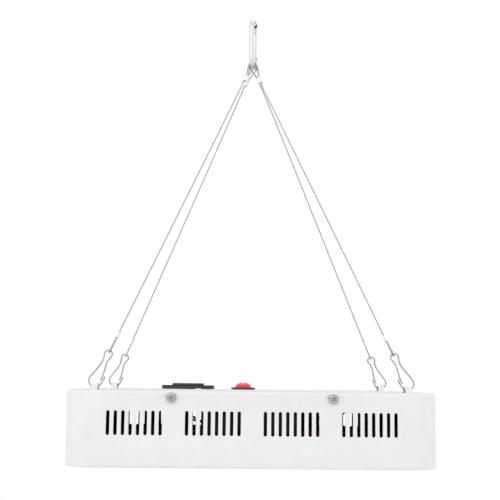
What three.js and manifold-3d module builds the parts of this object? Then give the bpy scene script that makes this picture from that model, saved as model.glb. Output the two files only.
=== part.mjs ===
// LED grow light: a sheet metal lamp hung level from four steel cables that meet at one snap hook.
// Units mm, +Z up, front at -Y. Origin: the upper inner bend of the snap hook, where it hangs.
import * as THREE from 'three';
import { mergeVertices } from 'three/addons/utils/BufferGeometryUtils.js';
import Module from 'manifold-3d';

const wasm = await Module();
wasm.setup();

// ---- driving dimensions -------------------------------------------------------------------
const GAP = 0.3;
const EPS = 1;

const BOX_W = 310;
const BOX_D = 210;
const BOX_H = 62.4;
const BOX_R = 25;
const SHEET = 1.2;
const TOP = -350;
const BASE = TOP - BOX_H;
const LIP = 8;
const CUT_T = 4;
const CUT_Z = TOP - 3;

const SLOTS = 8;
const SLOT_W = 2.8;
const SLOT_H = 20;
const SLOT_PITCH = 6.13;
const SLOT_DROP = 16.3;
const SLOT_END_STEPS = 3;
const GROUP_PITCH = 64.4;
const SIDE_GROUP_X = 66;

const SCREW_X = 66.5;
const SCREW_DROP = 5.4;
const SCREW_HEAD_R = 4;
const SCREW_HEAD_H = 2.6;
const SCREW_SHANK_R = 1.7;
const SCREW_HOLE_R = 2.05;
const SCREW_LENGTH = 7;
const FLANGE_H = 10;

const LUG_X = 132.5;
const LUG_Y = 77;
const LUG_W = 5.6;
const LUG_SPAN = 15;
const LUG_INNER_H = 4;

const INLET_X = -59.5;
const REAR_FITTINGS_Y = 80;
const INLET_FLANGE = [51.6, 24, 3.4];
const INLET_RIM = [31, 22.5, 5.4];
const INLET_BODY = [27.5, 20, 17];
const INLET_SOCKET = [24.4, 16.8];
const INLET_HOLE_PITCH = 40;
const INLET_FLOOR = 1.8;
const INLET_SINK_R = 3.3;
const INLET_SINK_DEPTH = 1.7;
const INLET_SCREW = [2.9, 1.2];
const PIN = [4, 2, 15];

const SWITCH_X = -4.6;
const SWITCH_FLANGE_R = 12.1;
const SWITCH_FLANGE_H = 1.9;
const SWITCH_BARREL_R = 10.2;
const SWITCH_CUP_R = 8.8;
const SWITCH_WALL = 1.5;
const SWITCH_DEPTH = 14;
const ROCKER_R = 8.4;
const ROCKER_TILT = 12;
const ROCKER_PIVOT_Z = TOP - 0.2;

const FAN = 80;
const FAN_T = 15;
const FAN_X = 84;
const FAN_BORE_R = 38;
const FAN_HUB_R = 15;
const FAN_HOLE = 35.75;
const BLADES = 7;
const FAN_SCREW = [3.2, 0.8];
const GRILLE_RINGS = [[16.6, 20.4], [23.6, 27.4], [30.6, 34.4]];

const DRIVER = [40, 118, 41.5];
const DRIVER_X = 22.5;
const DRIVER_Y = -22;
const BOARD = [302, 202, 1.6];
const BOARD_R = 20;
const LENS_PLATE_T = 1.8;
const LENS_COLS = 10;
const LENS_ROWS = 6;
const LENS_PITCH = [28, 30];
const LENS_R = 7;
const LENS_RISE = 3.2;
const LENS_DEEP = 2;
const SINK = [104, 150, 15];
const SINK_ROOT = 3;
const SINK_SHIFT = 12;
const FINS = 14;

const WIRE_R = 2.3;
const HOOK_TOP_R = 9;
const HOOK_LOW_R = 7.3;
const HOOK_LOW_Z = -42.3;
const HOOK_TURN_DEG = 77.5;
const HOOK_TURN = HOOK_TURN_DEG * Math.PI / 180;
const GATE_R = 2.15;
const GATE_S = 7.7;
const GATE_PIN_Z = -32;
const RIVET_R = 0.85;

const CABLE_R = 0.6;
const STRAND_OFF = 0.75;
const TOP_LOOP_R = 3.5;
const TOP_FERRULE = 13.3;
const LOW_LOOP_R = 2;
const LOW_FERRULE = 12.5;
const FERRULE_L = 5.4;
const LOOP_SLOT = 2.5;

const CLIP_R = 0.65;
const BOW_R = 5.6;
const EYE_R = 3.4;
const EYE_A = 25;
const EYE_OPEN = 60;
const NECK_A = 17.3;
const NECK_B = 1.9;
const ARM_TOP = [NECK_A - 0.1, -NECK_B - 0.05];
const ARM_LINE = [[12, -2.95], [6.5, -3.85], [4, -4], [1.6, -3.8]];
const STUB_LINE = [[2.6, -5.9], [4.8, -5.95], [6.2, -5.5]];

// ---- materials ----------------------------------------------------------------------------
function paint(color, roughness, metalness) {
  return new THREE.MeshStandardMaterial({ color, roughness, metalness });
}

const WHITE = paint(0xe9e9e8, 0.6, 0);
const BLACK = paint(0x2a2a2d, 0.55, 0);
const RED = paint(0xd8342b, 0.35, 0);
const CHROME = paint(0xc8cacc, 0.2, 1);
const STEEL = paint(0x9a978f, 0.35, 1);
const ROPE = paint(0xa9abac, 0.45, 1);
const ALU = paint(0xb9bcbf, 0.45, 1);
const BRASS = paint(0xb99a52, 0.35, 1);
const CLEAR = paint(0xd9dde0, 0.15, 0);
const DARK = paint(0x1c1c1e, 0.6, 0.2);

// ---- helpers ------------------------------------------------------------------------------
const group = new THREE.Group();

function solid(geometry) {
  const g = geometry.clone();
  g.deleteAttribute('normal');
  g.deleteAttribute('uv');
  const m = mergeVertices(g, 1e-4);
  const index = m.index.array;
  const pos = m.attributes.position.array;
  return new wasm.Manifold(new wasm.Mesh({
    numProp: 3,
    vertProperties: new Float32Array(pos),
    triVerts: new Uint32Array(index),
  }));
}

function add(name, body, material) {
  const out = body.getMesh();
  const g = new THREE.BufferGeometry();
  g.setAttribute('position', new THREE.BufferAttribute(new Float32Array(out.vertProperties), 3));
  g.setIndex(new THREE.BufferAttribute(new Uint32Array(out.triVerts), 1));
  g.computeVertexNormals();
  const mesh = new THREE.Mesh(g, material);
  mesh.name = name;
  group.add(mesh);
}

function block(w, d, h, x, y, z) {
  const g = new THREE.BoxGeometry(w, d, h);
  g.translate(x, y, z + h / 2);
  return solid(g);
}

function roundedRect(w, d, r, segments = 6) {
  const s = new THREE.Shape();
  const cx = w / 2 - r;
  const cy = d / 2 - r;
  const corners = [[cx, cy, 0], [-cx, cy, 1], [-cx, -cy, 2], [cx, -cy, 3]];
  const points = [];
  for (const [x, y, quarter] of corners) {
    for (let i = 0; i <= segments; i += 1) {
      const t = (quarter + i / segments) * Math.PI / 2;
      points.push(new THREE.Vector2(x + r * Math.cos(t), y + r * Math.sin(t)));
    }
  }
  s.setFromPoints(points);
  return s;
}

function prism(shape, h, z) {
  const g = new THREE.ExtrudeGeometry(shape, { depth: h, bevelEnabled: false, steps: 1 });
  g.translate(0, 0, z);
  return solid(g);
}

function cylinder(r, h, x, y, z, segments = 20) {
  const g = new THREE.CylinderGeometry(r, r, h, segments);
  g.rotateX(Math.PI / 2);
  g.translate(x, y, z + h / 2);
  return solid(g);
}

function lathe(profile, segments) {
  const g = new THREE.LatheGeometry(profile.map(([r, z]) => new THREE.Vector2(r, z)), segments);
  g.rotateX(Math.PI / 2);
  return solid(g);
}

// A route through given knots: the tube gets one ring at each knot.
class Route extends THREE.Curve {
  constructor(knots) {
    super();
    this.knots = knots;
  }

  getPoint(t) {
    const f = t * (this.knots.length - 1);
    const i = Math.min(Math.floor(f), this.knots.length - 2);
    return this.knots[i].clone().lerp(this.knots[i + 1], f - i);
  }

  getPointAt(t) {
    return this.getPoint(t);
  }

  getTangentAt(t) {
    const n = this.knots.length - 1;
    const i = Math.round(t * n);
    const before = this.knots[Math.max(i - 1, 0)];
    const after = this.knots[Math.min(i + 1, n)];
    return after.clone().sub(before).normalize();
  }
}

function tube(knots, r, sides = 6) {
  const ring = new THREE.Shape();
  const points = [];
  for (let i = 0; i < sides; i += 1) {
    const t = i / sides * Math.PI * 2;
    points.push(new THREE.Vector2(r * Math.cos(t), r * Math.sin(t)));
  }
  ring.setFromPoints(points);
  const steps = knots.length - 1;
  const extrudePath = new Route(knots);
  return solid(new THREE.ExtrudeGeometry(ring, { steps, bevelEnabled: false, extrudePath }));
}

// A point at a along i and b along j from an origin.
function at(origin, i, j, a, b) {
  return origin.clone().addScaledVector(i, a).addScaledVector(j, b);
}

function arc(origin, i, j, a0, b0, r, from, to, count) {
  const out = [];
  for (let k = 0; k <= count; k += 1) {
    const t = (from + (to - from) * k / count) * Math.PI / 180;
    out.push(at(origin, i, j, a0 + r * Math.cos(t), b0 + r * Math.sin(t)));
  }
  return out;
}

// ---- housing ------------------------------------------------------------------------------
function slotShape(x, z) {
  const r = SLOT_W / 2;
  const points = [];
  for (const [cz, start] of [[z - r, 0], [z - SLOT_H + r, 1]]) {
    for (let i = 0; i <= SLOT_END_STEPS; i += 1) {
      const t = (start + i / SLOT_END_STEPS) * Math.PI;
      points.push(new THREE.Vector2(x + r * Math.cos(t), cz + r * Math.sin(t)));
    }
  }
  return new THREE.Shape(points);
}

function slotCutters(centres, length) {
  const cuts = [];
  for (const centre of centres) {
    for (let i = 0; i < SLOTS; i += 1) {
      const x = centre + (i - (SLOTS - 1) / 2) * SLOT_PITCH;
      const shape = slotShape(x, TOP - SLOT_DROP);
      const g = new THREE.ExtrudeGeometry(shape, { depth: length, bevelEnabled: false, steps: 1 });
      g.rotateX(Math.PI / 2);
      g.translate(0, length / 2, 0);
      cuts.push(g);
    }
  }
  return cuts;
}

function screwHole(x, side) {
  return cylinder(SCREW_HOLE_R, 12, 0, 0, -6, 14)
    .rotate([90, 0, 0])
    .translate([x, side * (BOX_D / 2 - 2), TOP - SCREW_DROP]);
}

function housingTray() {
  let body = prism(roundedRect(BOX_W, BOX_D, BOX_R, 8), BOX_H, BASE);
  const inner = roundedRect(BOX_W - 2 * SHEET, BOX_D - 2 * SHEET, BOX_R - SHEET, 8);
  body = body.subtract(prism(inner, BOX_H, BASE + SHEET));
  const window = roundedRect(BOX_W - 2 * LIP - 2 * SHEET, BOX_D - 2 * LIP - 2 * SHEET, BOX_R - LIP, 5);
  body = body.subtract(prism(window, 2 * EPS + SHEET, BASE - EPS));
  const front = slotCutters([-1.5, -0.5, 0.5, 1.5].map((k) => k * GROUP_PITCH), BOX_D + 2 * EPS);
  for (const g of front) body = body.subtract(solid(g));
  const side = slotCutters([-SIDE_GROUP_X / 2, SIDE_GROUP_X / 2], BOX_W + 2 * EPS);
  for (const g of side) body = body.subtract(solid(g.rotateZ(Math.PI / 2)));
  for (const x of [-SCREW_X, SCREW_X]) {
    for (const s of [-1, 1]) body = body.subtract(screwHole(x, s));
  }
  return body;
}

function ringSlot(x, inner, outer, start) {
  const span = 74;
  const count = 3;
  const points = [];
  for (let i = 0; i <= count; i += 1) {
    const t = (start + span * i / count) * Math.PI / 180;
    points.push(new THREE.Vector2(x + outer * Math.cos(t), outer * Math.sin(t)));
  }
  for (let i = count; i >= 0; i -= 1) {
    const t = (start + span * i / count) * Math.PI / 180;
    points.push(new THREE.Vector2(x + inner * Math.cos(t), inner * Math.sin(t)));
  }
  return prism(new THREE.Shape(points), SHEET + 2 * EPS, TOP - SHEET - EPS);
}

function lugBridge(x, y) {
  const h = LUG_INNER_H + SHEET;
  const half = LUG_SPAN / 2;
  const ramp = 3.2;
  const outer = [[-half, -SHEET], [-half, 0], [ramp - half, h], [half - ramp, h], [half, 0], [half, -SHEET]];
  const inner = [[half - SHEET, -SHEET], [half - SHEET - 0.2, 0], [half - ramp - 0.4, LUG_INNER_H]];
  const points = [...outer, ...inner, ...inner.slice().reverse().map(([a, b]) => [-a, b])];
  const shape = new THREE.Shape(points.map(([a, b]) => new THREE.Vector2(a, b)));
  const g = new THREE.ExtrudeGeometry(shape, { depth: LUG_W, bevelEnabled: false, steps: 1 });
  g.rotateX(Math.PI / 2);
  g.rotateZ(Math.PI / 2);
  g.translate(x - LUG_W / 2, y, TOP);
  return solid(g);
}

function topCover() {
  const inset = 2 * (SHEET + GAP);
  const outline = roundedRect(BOX_W - inset, BOX_D - inset, BOX_R - SHEET - GAP, 8);
  const flangeIn = inset + 2 * SHEET;
  const hollow = roundedRect(BOX_W - flangeIn, BOX_D - flangeIn, BOX_R - 2 * SHEET - GAP, 8);
  let body = prism(outline, FLANGE_H, TOP - FLANGE_H);
  body = body.subtract(prism(hollow, FLANGE_H - SHEET + EPS, TOP - FLANGE_H - EPS));
  for (const x of [-FAN_X, FAN_X]) {
    for (const [inner, outer] of GRILLE_RINGS) {
      for (let q = 0; q < 4; q += 1) body = body.subtract(ringSlot(x, inner, outer, 8 + q * 90));
    }
    for (const [sx, sy] of [[-1, -1], [1, -1], [1, 1], [-1, 1]]) {
      body = body.subtract(cylinder(SCREW_HOLE_R, CUT_T, x + sx * FAN_HOLE, sy * FAN_HOLE, CUT_Z, 10));
    }
  }
  const [inletW, inletD] = INLET_BODY.map((side) => side + 2 * GAP);
  body = body.subtract(block(inletW, inletD, CUT_T, INLET_X, REAR_FITTINGS_Y, CUT_Z));
  body = body.subtract(cylinder(SWITCH_BARREL_R + GAP, CUT_T, SWITCH_X, REAR_FITTINGS_Y, CUT_Z, 24));
  for (const s of [-1, 1]) {
    const x = INLET_X + s * INLET_HOLE_PITCH / 2;
    body = body.subtract(cylinder(SCREW_HOLE_R, CUT_T, x, REAR_FITTINGS_Y, CUT_Z, 10));
  }
  for (const x of [-SCREW_X, SCREW_X]) {
    for (const s of [-1, 1]) body = body.subtract(screwHole(x, s));
  }
  for (const sx of [-1, 1]) {
    for (const sy of [-1, 1]) {
      const x = sx * LUG_X;
      const y = sy * LUG_Y;
      body = body.subtract(block(LUG_W + 1, LUG_SPAN - 2 * SHEET, CUT_T, x, y, CUT_Z));
      body = body.add(lugBridge(x, y));
    }
  }
  return body;
}

function panScrew(headR, headH, shankR, length) {
  const crown = [[headR, 0], [headR, headH * 0.4], [headR * 0.72, headH], [0, headH]];
  return lathe([[0, -length], [shankR, -length], [shankR, 0], ...crown], 12);
}

function sideScrew(x, side) {
  return panScrew(SCREW_HEAD_R, SCREW_HEAD_H, SCREW_SHANK_R, SCREW_LENGTH)
    .rotate([side < 0 ? 90 : -90, 0, 0])
    .translate([x, side * (BOX_D / 2 + GAP), TOP - SCREW_DROP]);
}

// ---- light engine and cooling -------------------------------------------------------------
const LENS_Z = BASE + LENS_RISE;
const BOARD_Z = LENS_Z + LENS_PLATE_T + GAP;
const SINK_Z = BOARD_Z + BOARD[2] + GAP;
const FAN_TOP = TOP - SHEET - GAP;

function ledBoard() {
  return prism(roundedRect(BOARD[0], BOARD[1], BOARD_R, 4), BOARD[2], BOARD_Z);
}

function lensPlate() {
  const dome = lathe([[0, -LENS_DEEP], [LENS_R * 0.6, -LENS_DEEP], [LENS_R, 0.4], [0, 0.4]], 6);
  const domes = [];
  for (let i = 0; i < LENS_COLS; i += 1) {
    for (let j = 0; j < LENS_ROWS; j += 1) {
      const x = (i - (LENS_COLS - 1) / 2) * LENS_PITCH[0];
      const y = (j - (LENS_ROWS - 1) / 2) * LENS_PITCH[1];
      domes.push(dome.translate([x, y, LENS_Z]));
    }
  }
  const plate = prism(roundedRect(BOARD[0], BOARD[1], BOARD_R, 4), LENS_PLATE_T, LENS_Z);
  return wasm.Manifold.union([plate, ...domes]);
}

function heatSink(x) {
  const half = SINK[0] / 2;
  const pitch = SINK[0] / (FINS - 0.5);
  const points = [[-half, 0], [half, 0]];
  for (let i = FINS - 1; i >= 0; i -= 1) {
    const left = -half + i * pitch;
    points.push([left + pitch / 2, SINK[2]], [left, SINK[2]]);
    if (i > 0) points.push([left, SINK_ROOT], [left - pitch / 2, SINK_ROOT]);
  }
  const shape = new THREE.Shape(points.map(([a, b]) => new THREE.Vector2(a, b)));
  const g = new THREE.ExtrudeGeometry(shape, { depth: SINK[1], bevelEnabled: false, steps: 1 });
  g.rotateX(Math.PI / 2);
  g.translate(x, SINK[1] / 2, SINK_Z);
  return solid(g);
}

function fanFrame(x) {
  let body = prism(roundedRect(FAN, FAN, 5, 3), FAN_T, FAN_TOP - FAN_T);
  body = body.subtract(cylinder(FAN_BORE_R, FAN_T + 2, 0, 0, FAN_TOP - FAN_T - 1, 22));
  body = body.add(cylinder(FAN_HUB_R, 2, 0, 0, FAN_TOP - FAN_T, 20));
  for (const turn of [15, 105, 195, 285]) {
    const strut = block(FAN_BORE_R - FAN_HUB_R + 3, 3, 2, (FAN_BORE_R + FAN_HUB_R) / 2, 0, FAN_TOP - FAN_T);
    body = body.add(strut.rotate([0, 0, turn]));
  }
  body = body.add(cylinder(2, 5, 0, 0, FAN_TOP - FAN_T + 1, 12));
  for (const sx of [-1, 1]) {
    for (const sy of [-1, 1]) {
      const hole = cylinder(SCREW_HOLE_R, FAN_T + 2, sx * FAN_HOLE, sy * FAN_HOLE, FAN_TOP - FAN_T - 1, 10);
      body = body.subtract(hole);
    }
  }
  return body.translate([x, 0, 0]);
}

function fanRotor(x) {
  const low = FAN_TOP - FAN_T + 2.6;
  const height = FAN_T - 4;
  let body = cylinder(FAN_HUB_R - 0.5, height, 0, 0, low, 20);
  for (let i = 0; i < BLADES; i += 1) {
    const blade = block(FAN_BORE_R - FAN_HUB_R - 0.2, 1.2, 13, (FAN_BORE_R + FAN_HUB_R) / 2 - 1, 0, -6.5)
      .rotate([52, 0, 0])
      .translate([0, 0, low + height / 2])
      .rotate([0, 0, i * 360 / BLADES]);
    body = body.add(blade);
  }
  body = body.subtract(cylinder(2.4, 7, 0, 0, low - 2, 12));
  return body.translate([x, 0, 0]);
}

function ledDriver(side) {
  let body = block(...DRIVER, side * DRIVER_X, DRIVER_Y, SINK_Z);
  for (let i = 0; i < 5; i += 1) {
    const y = DRIVER_Y + (i - 2) * 20;
    body = body.subtract(block(DRIVER[0] + 2, 4, 2, side * DRIVER_X, y, SINK_Z + DRIVER[2] - 1.5));
  }
  return body;
}

// ---- power fittings -----------------------------------------------------------------------
function socketShape() {
  const [w, d] = INLET_SOCKET;
  const cut = 4.4;
  const right = [[w / 2, -d / 2], [w / 2, d / 2 - cut], [w / 2 - cut, d / 2]];
  const points = [...right, ...right.slice().reverse().map(([a, b]) => [-a, b])];
  return new THREE.Shape(points.map(([a, b]) => new THREE.Vector2(a, b)));
}

const PIN_SPOTS = [[-7, -2.2], [7, -2.2], [0, 2.2]];
const FITTING_Z = TOP + GAP;

function inletBody() {
  const deep = INLET_BODY[2];
  let body = prism(roundedRect(INLET_FLANGE[0], INLET_FLANGE[1], 3.5, 3), INLET_FLANGE[2], 0);
  body = body.add(prism(roundedRect(INLET_RIM[0], INLET_RIM[1], 2, 2), INLET_RIM[2], 0));
  body = body.add(block(INLET_BODY[0], INLET_BODY[1], deep + 1, 0, 0, -deep));
  body = body.subtract(prism(socketShape(), deep + INLET_RIM[2], INLET_FLOOR - deep));
  for (const [x, y] of PIN_SPOTS) {
    body = body.subtract(block(PIN[0] + 2 * GAP, PIN[1] + 2 * GAP, 6, x, y, -deep - EPS));
  }
  for (const s of [-1, 1]) {
    body = body.subtract(cylinder(SCREW_HOLE_R, 8, s * INLET_HOLE_PITCH / 2, 0, -2, 12));
    const sink = INLET_FLANGE[2] - INLET_SINK_DEPTH;
    body = body.subtract(cylinder(INLET_SINK_R, 4, s * INLET_HOLE_PITCH / 2, 0, sink, 16));
  }
  return body.translate([INLET_X, REAR_FITTINGS_Y, FITTING_Z]);
}

function inletPin(k) {
  const [x, y] = PIN_SPOTS[k];
  return block(...PIN, INLET_X + x, REAR_FITTINGS_Y + y, FITTING_Z - INLET_BODY[2] - 4);
}

function inletScrew(side) {
  const seat = FITTING_Z + INLET_FLANGE[2] - INLET_SINK_DEPTH + GAP;
  return panScrew(...INLET_SCREW, SCREW_SHANK_R, 7)
    .translate([INLET_X + side * INLET_HOLE_PITCH / 2, REAR_FITTINGS_Y, seat]);
}

function switchBody() {
  const high = SWITCH_FLANGE_H;
  const profile = [
    [0, -SWITCH_DEPTH], [SWITCH_BARREL_R, -SWITCH_DEPTH], [SWITCH_BARREL_R, 0], [SWITCH_FLANGE_R, 0],
    [SWITCH_FLANGE_R, high * 0.55], [SWITCH_FLANGE_R - 0.9, high], [SWITCH_CUP_R, high],
    [SWITCH_CUP_R, SWITCH_WALL - SWITCH_DEPTH], [0, SWITCH_WALL - SWITCH_DEPTH],
  ];
  return lathe(profile, 28).translate([SWITCH_X, REAR_FITTINGS_Y, FITTING_Z]);
}

function switchRocker() {
  const ball = solid(new THREE.SphereGeometry(ROCKER_R, 20, 12).rotateX(Math.PI / 2));
  const low = -3.4;
  const ridge = 4.6;
  const tip = 6.6;
  const right = [[9, low], [9, tip + 1], [4.5, tip - 0.4]];
  const points = [[0, low], ...right, [0, ridge], ...right.slice().reverse().map(([a, b]) => [-a, b])];
  const shape = new THREE.Shape(points.map(([a, b]) => new THREE.Vector2(a, b)));
  const g = new THREE.ExtrudeGeometry(shape, { depth: 20, bevelEnabled: false, steps: 1 });
  g.rotateX(Math.PI / 2);
  g.rotateZ(Math.PI / 2);
  g.translate(-10, 0, 0);
  return ball.intersect(solid(g))
    .rotate([ROCKER_TILT, 0, 0])
    .translate([SWITCH_X, REAR_FITTINGS_Y, ROCKER_PIVOT_Z]);
}

// ---- snap hook ----------------------------------------------------------------------------
function hookPlane(points) {
  return points.map(([s, z]) => new THREE.Vector3(s, 0, z));
}

function circlePoints(cs, cz, r, from, to, count) {
  const out = [];
  for (let i = 0; i <= count; i += 1) {
    const t = (from + (to - from) * i / count) * Math.PI / 180;
    out.push([cs + r * Math.cos(t), cz + r * Math.sin(t)]);
  }
  return out;
}

const HOOK_LOW_C = HOOK_LOW_Z + HOOK_LOW_R;
const HOOK_TOP_C = WIRE_R - HOOK_TOP_R;
const TONGUE_T = 1.6;
const TONGUE_R = 1.7;
const TONGUE_L = 6;
const NOSE = [2.8, 5.6];
const NOSE_DROP = 4.2;
const FORK_W = 2.2;

function rivetHole() {
  return cylinder(RIVET_R + GAP, 6, 0, 0, -3, 12).rotate([90, 0, 0]).translate([GATE_S, 0, GATE_PIN_Z]);
}

function carabinerBody() {
  const low = circlePoints(0, HOOK_LOW_C, HOOK_LOW_R, 0, -180, 14);
  const high = circlePoints(0, HOOK_TOP_C, HOOK_TOP_R, 180, 10, 14);
  let body = tube(hookPlane([...low, ...high]), WIRE_R, 10);
  const tongueS = GATE_S - 0.3;
  body = body.add(block(2 * TONGUE_R, TONGUE_T, TONGUE_L + 1, tongueS, 0, HOOK_LOW_C - 1));
  const tongueEnd = cylinder(TONGUE_R, TONGUE_T, 0, 0, -TONGUE_T / 2, 14).rotate([90, 0, 0]);
  body = body.add(tongueEnd.translate([tongueS, 0, HOOK_LOW_C + TONGUE_L]));
  const nose = block(NOSE[0], TONGUE_T, NOSE[1], HOOK_TOP_R - 0.4, 0, HOOK_TOP_C - NOSE_DROP);
  body = body.add(nose);
  body = body.subtract(rivetHole());
  return body.rotate([0, 0, HOOK_TURN_DEG]);
}

function carabinerGate() {
  const bottom = GATE_PIN_Z - 1.8;
  const top = HOOK_TOP_C - 0.3;
  const lean = Math.atan2(HOOK_TOP_R - 0.6 - GATE_S, top - GATE_PIN_Z) * 180 / Math.PI;
  const height = top - bottom;
  let bar = cylinder(GATE_R, height, 0, 0, bottom - GATE_PIN_Z, 12);
  bar = bar.rotate([0, lean, 0]).translate([GATE_S, 0, GATE_PIN_Z]);
  bar = bar.subtract(block(9, FORK_W, 8.2, GATE_S, 0, GATE_PIN_Z - 3));
  bar = bar.subtract(block(8, FORK_W, 5.2, HOOK_TOP_R, 0, HOOK_TOP_C - 4.8));
  bar = bar.subtract(rivetHole());
  return bar.rotate([0, 0, HOOK_TURN_DEG]);
}

function carabinerRivet() {
  return cylinder(RIVET_R, 5, 0, 0, -2.5, 12)
    .rotate([90, 0, 0])
    .translate([GATE_S, 0, GATE_PIN_Z])
    .rotate([0, 0, HOOK_TURN_DEG]);
}

// ---- cables, ferrules and clips -----------------------------------------------------------
// the bow of each clip bears on the lower edges of its bridge, where it has risen by BOW_RISE
const BOW_RISE = BOW_R - Math.sqrt(BOW_R ** 2 - (LUG_W / 2) ** 2) + 0.2;
const BOW_Z = TOP + LUG_INNER_H - CLIP_R - GAP - BOW_RISE + BOW_R;
const HOOK_DIR = new THREE.Vector3(Math.cos(HOOK_TURN), Math.sin(HOOK_TURN), 0);
const CORNERS = {
  fl: { x: -1, y: -1, slot: -1.5 },
  fr: { x: 1, y: -1, slot: -0.5 },
  rl: { x: -1, y: 1, slot: 0.5 },
  rr: { x: 1, y: 1, slot: 1.5 },
};

function cornerFrame({ x, y, slot }) {
  const s = slot * LOOP_SLOT;
  const rise = HOOK_LOW_R - Math.sqrt(HOOK_LOW_R ** 2 - s ** 2);
  const apex = HOOK_DIR.clone().multiplyScalar(s).add(new THREE.Vector3(0, 0, HOOK_LOW_Z + rise));
  const bow = new THREE.Vector3(x * LUG_X, y * LUG_Y, BOW_Z);
  const down = bow.clone().sub(apex).normalize();
  const up = down.clone().negate();
  const across = HOOK_DIR.clone().cross(down).normalize();
  const out = new THREE.Vector3(x, 0, 0);
  out.addScaledVector(down, -out.dot(down)).normalize();
  const normal = down.clone().cross(out).normalize();
  const eye = bow.clone().addScaledVector(up, EYE_A + EYE_R);
  return { apex, bow, down, up, across, out, normal, eye };
}

function loopKnots(centre, along, side, r, reach, count) {
  const spread = Math.atan2(r - STRAND_OFF, reach) * 180 / Math.PI;
  const start = -(90 - spread);
  return arc(centre, along, side, 0, 0, r, start, start - 360 + 2 * (90 - spread), count);
}

function cable(c) {
  const topEnd = TOP_FERRULE + FERRULE_L + 1.4;
  const lowEnd = LOW_FERRULE + FERRULE_L + 1.4;
  const topBend = loopKnots(c.apex, c.down, c.across, TOP_LOOP_R, TOP_FERRULE, 12);
  const lowBend = loopKnots(c.eye, c.up, c.normal, LOW_LOOP_R, LOW_FERRULE, 9);
  const head = [topEnd, TOP_FERRULE + 0.3].map((a) => at(c.apex, c.down, c.across, a, -STRAND_OFF));
  const neck = [TOP_FERRULE + 0.3, topEnd].map((a) => at(c.apex, c.down, c.across, a, STRAND_OFF));
  const heel = [lowEnd + 2, LOW_FERRULE + 0.3].map((a) => at(c.eye, c.up, c.normal, a, -STRAND_OFF));
  const tail = [LOW_FERRULE + 0.3, lowEnd].map((a) => at(c.eye, c.up, c.normal, a, STRAND_OFF));
  return tube([...head, ...topBend, ...neck, ...heel, ...lowBend, ...tail], CABLE_R, 6);
}

function ferrule(origin, along, side, from) {
  const normal = along.clone().cross(side).normalize();
  const ring = (half, r) => {
    const points = [];
    for (let i = 0; i < 12; i += 1) {
      const t = (i + 0.5) / 12 * Math.PI * 2;
      points.push(new THREE.Vector2(Math.sign(Math.cos(t)) * half + r * Math.cos(t), r * Math.sin(t)));
    }
    return points;
  };
  const shape = new THREE.Shape(ring(STRAND_OFF, CABLE_R + 0.8));
  shape.holes.push(new THREE.Path(ring(STRAND_OFF, CABLE_R + 0.12).reverse()));
  const g = new THREE.ExtrudeGeometry(shape, { depth: FERRULE_L, bevelEnabled: false, steps: 1 });
  const place = new THREE.Matrix4().makeBasis(side, normal.clone().negate(), along);
  place.setPosition(at(origin, along, side, from, 0));
  if (place.determinant() < 0) {
    place.makeBasis(side, normal, along);
    place.setPosition(at(origin, along, side, from, 0));
  }
  g.applyMatrix4(place);
  return solid(g);
}

function clip(c) {
  const lean = Math.atan2(BOW_R - NECK_B, NECK_A) * 180 / Math.PI;
  const pts = [];
  pts.push(at(c.bow, c.up, c.out, NECK_A + 0.5, -NECK_B));
  pts.push(...arc(c.bow, c.up, c.out, EYE_A, 0, EYE_R, 180 + EYE_OPEN, 540 - EYE_OPEN, 12));
  pts.push(at(c.bow, c.up, c.out, NECK_A, NECK_B));
  pts.push(...arc(c.bow, c.up, c.out, 0, 0, BOW_R, 90 - lean, 270, 10));
  for (const [a, b] of STUB_LINE) {
    pts.push(at(c.bow, c.up, c.out, a, b));
  }
  return tube(pts, CLIP_R, 6);
}

function clipArm(c) {
  const pts = [ARM_TOP, ...ARM_LINE].map(([a, b]) => at(c.bow, c.up, c.out, a, b));
  return tube(pts, CLIP_R, 6);
}

// ---- assembly -----------------------------------------------------------------------------
add('housing_tray', housingTray(), WHITE);
add('top_cover', topCover(), WHITE);
for (const [tag, { x, y }] of Object.entries(CORNERS)) {
  add(`side_screw_${tag}`, sideScrew(x * SCREW_X, y), CHROME);
}
add('led_board', ledBoard(), WHITE);
add('lens_plate', lensPlate(), CLEAR);
for (const [tag, s] of [['l', -1], ['r', 1]]) {
  add(`heat_sink_${tag}`, heatSink(s * (FAN_X + SINK_SHIFT)), ALU);
  add(`fan_frame_${tag}`, fanFrame(s * FAN_X), DARK);
  add(`fan_rotor_${tag}`, fanRotor(s * FAN_X), DARK);
  add(`led_driver_${tag}`, ledDriver(s), DARK);
  [[-1, -1], [1, -1], [1, 1], [-1, 1]].forEach(([sx, sy], i) => {
    const screw = panScrew(...FAN_SCREW, SCREW_SHANK_R, 9);
    const spot = [s * FAN_X + sx * FAN_HOLE, sy * FAN_HOLE, TOP + GAP];
    add(`fan_screw_${tag}${i + 1}`, screw.translate(spot), WHITE);
  });
}
add('inlet_body', inletBody(), BLACK);
['l', 'n', 'e'].forEach((tag, i) => add(`inlet_pin_${tag}`, inletPin(i), BRASS));
add('inlet_screw_l', inletScrew(-1), BLACK);
add('inlet_screw_r', inletScrew(1), BLACK);
add('switch_body', switchBody(), BLACK);
add('switch_rocker', switchRocker(), RED);
add('carabiner_body', carabinerBody(), STEEL);
add('carabiner_gate', carabinerGate(), STEEL);
add('carabiner_rivet', carabinerRivet(), STEEL);
for (const [tag, corner] of Object.entries(CORNERS)) {
  const c = cornerFrame(corner);
  add(`cable_${tag}`, cable(c), ROPE);
  add(`ferrule_top_${tag}`, ferrule(c.apex, c.down, c.across, TOP_FERRULE), ALU);
  add(`ferrule_low_${tag}`, ferrule(c.eye, c.up, c.normal, LOW_FERRULE), ALU);
  add(`clip_${tag}`, clip(c), STEEL);
  add(`clip_arm_${tag}`, clipArm(c), STEEL);
}

export default group;
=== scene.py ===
import math

import bmesh
import bpy
import numpy as np
from mathutils import Matrix, Vector, geometry

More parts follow.
